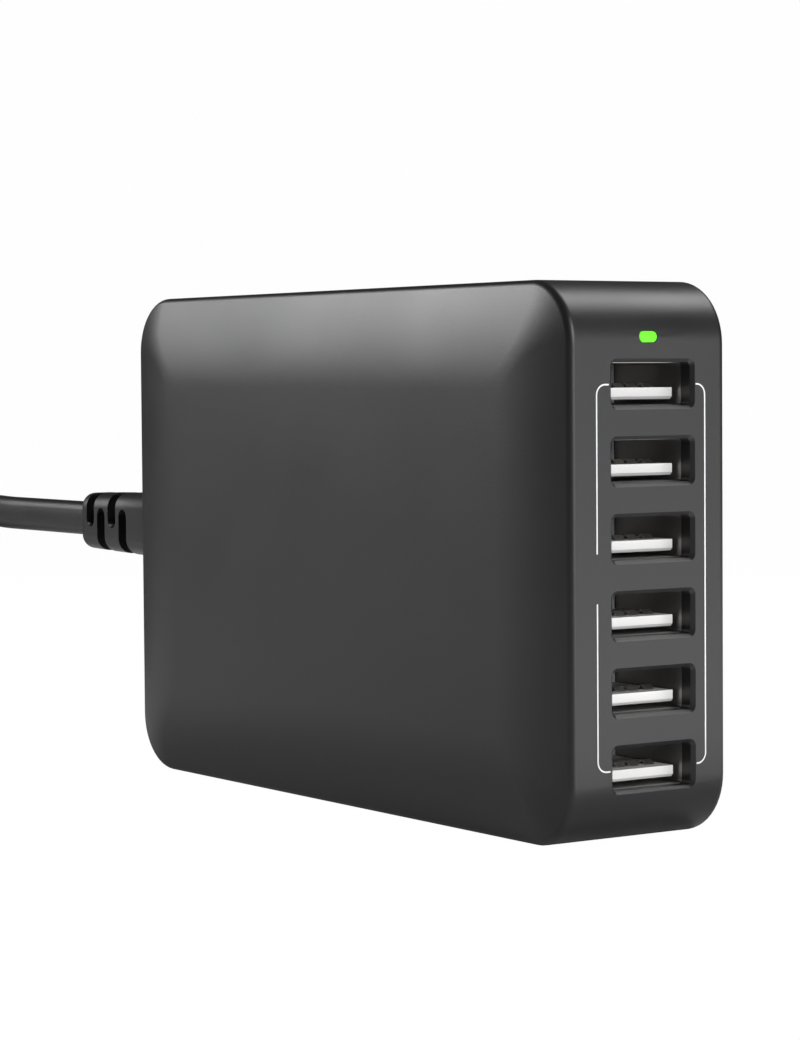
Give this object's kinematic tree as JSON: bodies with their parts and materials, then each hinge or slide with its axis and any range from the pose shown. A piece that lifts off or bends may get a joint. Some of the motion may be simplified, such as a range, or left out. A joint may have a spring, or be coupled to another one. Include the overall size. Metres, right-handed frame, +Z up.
{
  "type": "usb desktop charger",
  "caption": "Slim black USB desktop charger standing on its narrow side, with a column of USB-A sockets, a green indicator, an inlet with its connector and a flat mains lead with a plug.",
  "frame": {"origin": "middle of the case's underside, on the surface it stands on", "axes": "+X from the crowned side that the picture shows to the side cover, +Y from the sockets to the inlet at the rear, +Z up"},
  "size_m": [0.045, 0.3516, 0.07],
  "materials": {
    "case_plastic": "fine satin grain",
    "indicator_green": "translucent, lit from behind",
    "white_print": "printed ink",
    "socket_steel": "plated sheet",
    "tongue_white": "moulded",
    "contact_gold": "gold flash",
    "board_green": "solder mask",
    "screw_steel": "zinc plated",
    "led_clear": "clear moulded",
    "chip_black": "moulded",
    "inlet_black": "moulded",
    "pin_nickel": "nickel plated",
    "strap_brass": "tinned",
    "fuse_white": "ceramic with metal caps",
    "varistor_blue": "dipped",
    "film_yellow": "moulded case",
    "ferrite": "sintered",
    "copper_wire": "enamelled",
    "can_blue": "sleeved can",
    "bobbin_black": "moulded",
    "sink_aluminium": "mill finish",
    "opto_white": "moulded",
    "cord_black": "smooth satin",
    "tie_black": "hook and loop strap"
  },
  "bodies": {
    "root": {"case_shell": "case_plastic", "side_cover": "case_plastic", "indicator_lens": "indicator_green", "bracket_print": "white_print", "socket_shell_1": "socket_steel", "socket_shell_2": "socket_steel", "socket_shell_3": "socket_steel", "socket_shell_4": "socket_steel", "socket_shell_5": "socket_steel", "socket_shell_6": "socket_steel", "socket_tongue_1": "tongue_white", "socket_tongue_2": "tongue_white", "socket_tongue_3": "tongue_white", "socket_tongue_4": "tongue_white", "socket_tongue_5": "tongue_white", "socket_tongue_6": "tongue_white", "socket_contacts_1": "contact_gold", "socket_contacts_2": "contact_gold", "socket_contacts_3": "contact_gold", "socket_contacts_4": "contact_gold", "socket_contacts_5": "contact_gold", "socket_contacts_6": "contact_gold", "port_board": "board_green", "main_board": "board_green", "board_screws": "screw_steel", "indicator_led": "led_clear", "charging_chips": "chip_black", "bridge_rectifier": "chip_black", "switching_transistor": "chip_black", "output_rectifier": "chip_black", "inlet_body": "inlet_black", "inlet_pins": "pin_nickel", "plug_blades": "pin_nickel", "inlet_straps": "strap_brass", "connector_sleeves": "strap_brass", "fuse": "fuse_white", "varistor": "varistor_blue", "y_capacitor": "varistor_blue", "x_capacitor": "film_yellow", "transformer_winding": "film_yellow", "choke_core": "ferrite", "transformer_core": "ferrite", "choke_windings": "copper_wire", "output_choke": "copper_wire", "bulk_capacitors": "can_blue", "output_capacitors": "can_blue", "transformer_bobbin": "bobbin_black", "primary_heat_sink": "sink_aluminium", "secondary_heat_sink": "sink_aluminium", "optocoupler": "opto_white", "connector_body": "cord_black", "power_cord": "cord_black", "cord_coil": "cord_black", "cord_tail": "cord_black", "mains_plug": "cord_black", "cord_tie": "tie_black"}
  },
  "joints": []
}
